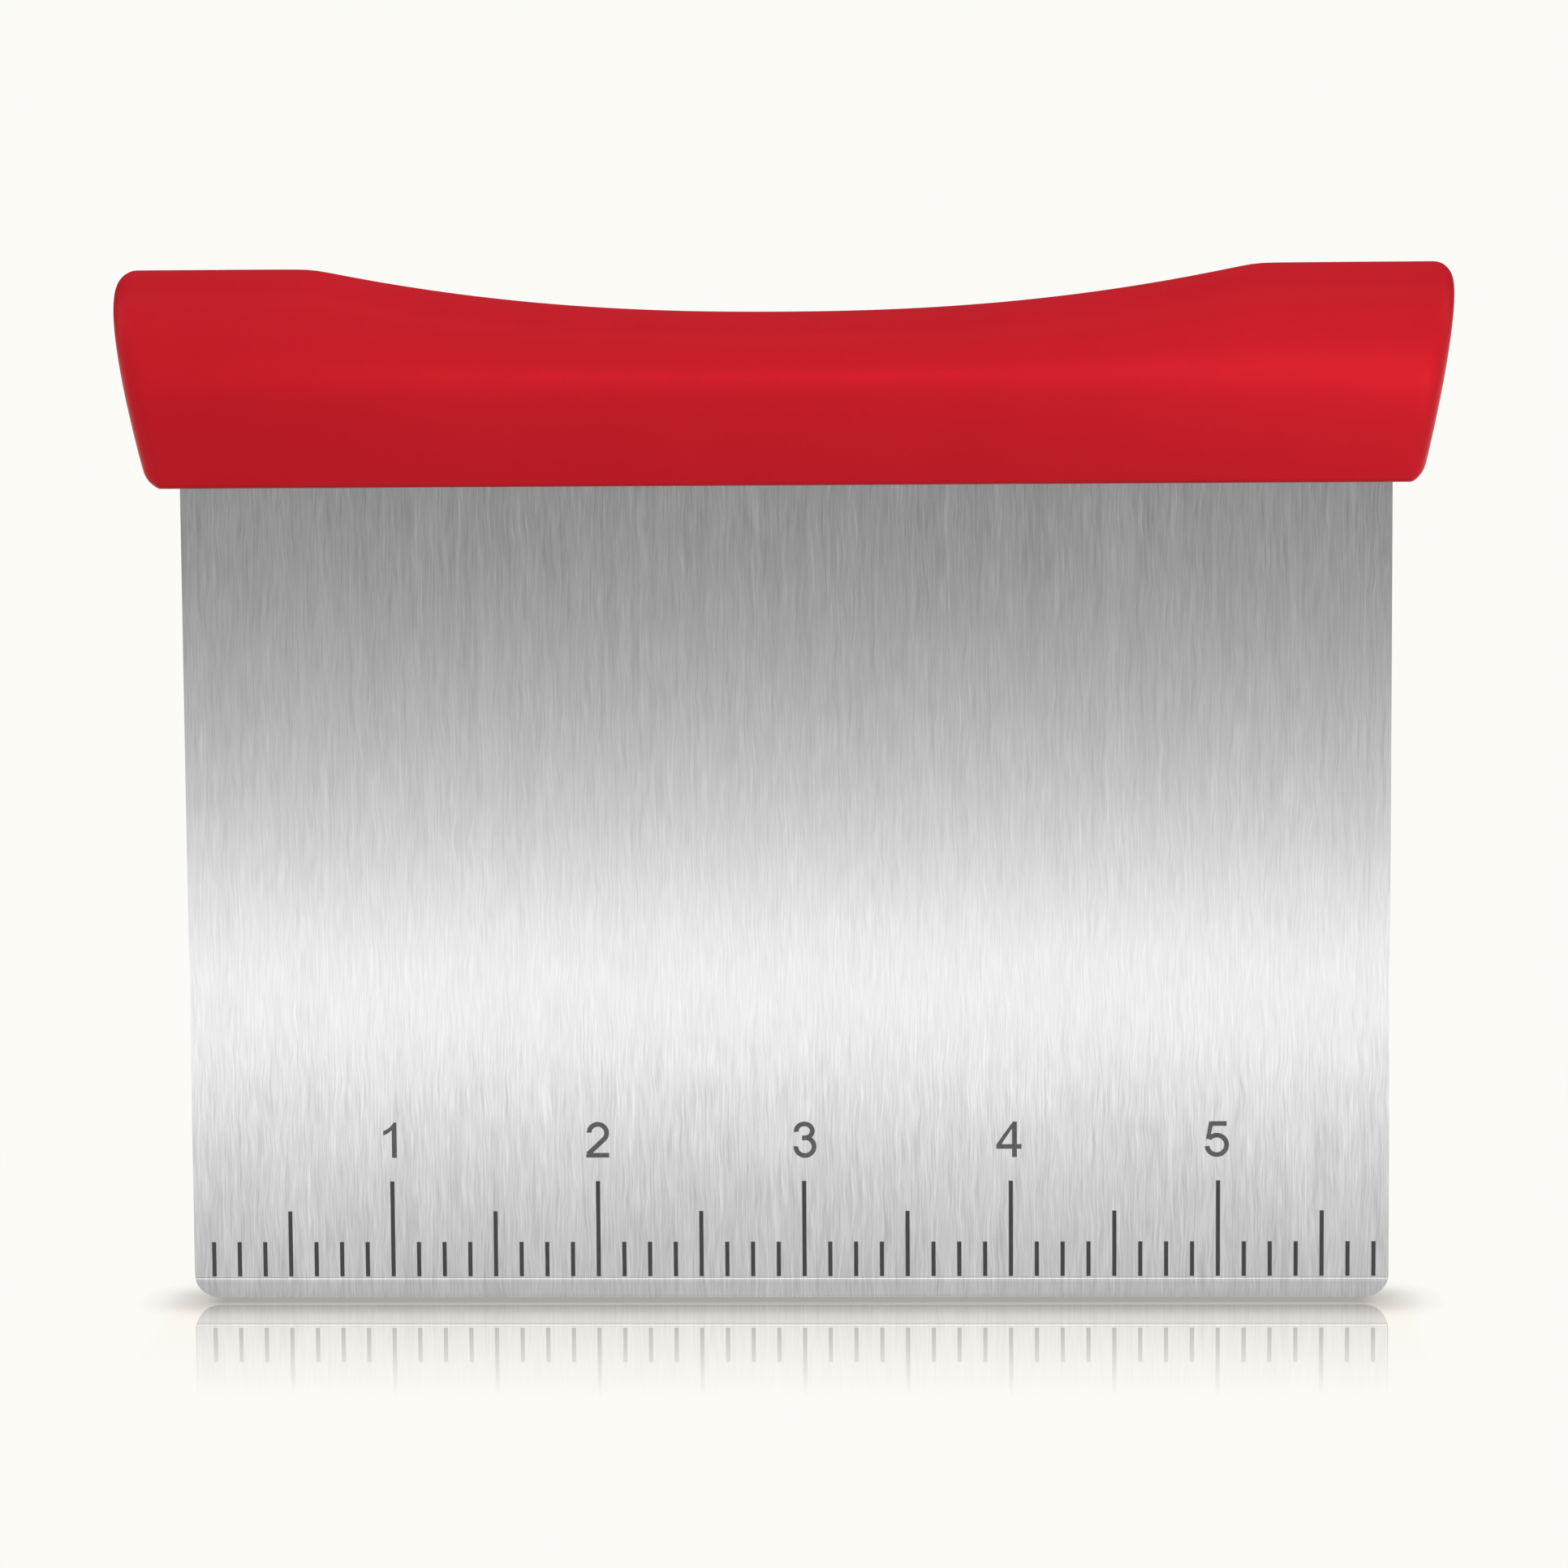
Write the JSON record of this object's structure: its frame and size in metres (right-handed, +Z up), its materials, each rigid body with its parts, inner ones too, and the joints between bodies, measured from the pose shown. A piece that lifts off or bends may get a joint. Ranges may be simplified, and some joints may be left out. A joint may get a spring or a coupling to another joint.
{
  "type": "bench scraper",
  "caption": "Bench scraper: a straight ground stainless blade with an engraved inch ruler, riveted into a core with a full-width soft red grip.",
  "frame": {"origin": "middle of the blade's cutting edge, on the plane that the edge stands on, under the middle of the grip", "axes": "+X along the edge, towards the high end of the ruler; +Z up, from the edge to the grip; the ruled face of the blade looks along -Y"},
  "size_m": [0.1612, 0.0234, 0.1266],
  "materials": {
    "blade_steel": "vertical brushed grain, satin",
    "core_plastic": "moulded polypropylene, matte",
    "rivet_steel": "plain rolled steel",
    "grip_rubber": "soft-touch elastomer, satin",
    "graduation_enamel": "dark grey engraving fill, matte",
    "numeral_enamel": "dark grey engraving fill, matte"
  },
  "bodies": {
    "root": {"blade": "blade_steel", "core_front": "core_plastic", "core_rear": "core_plastic", "tang_rivets": "rivet_steel", "grip": "grip_rubber", "ruler_graduations": "graduation_enamel", "ruler_numerals": "numeral_enamel"}
  },
  "joints": []
}
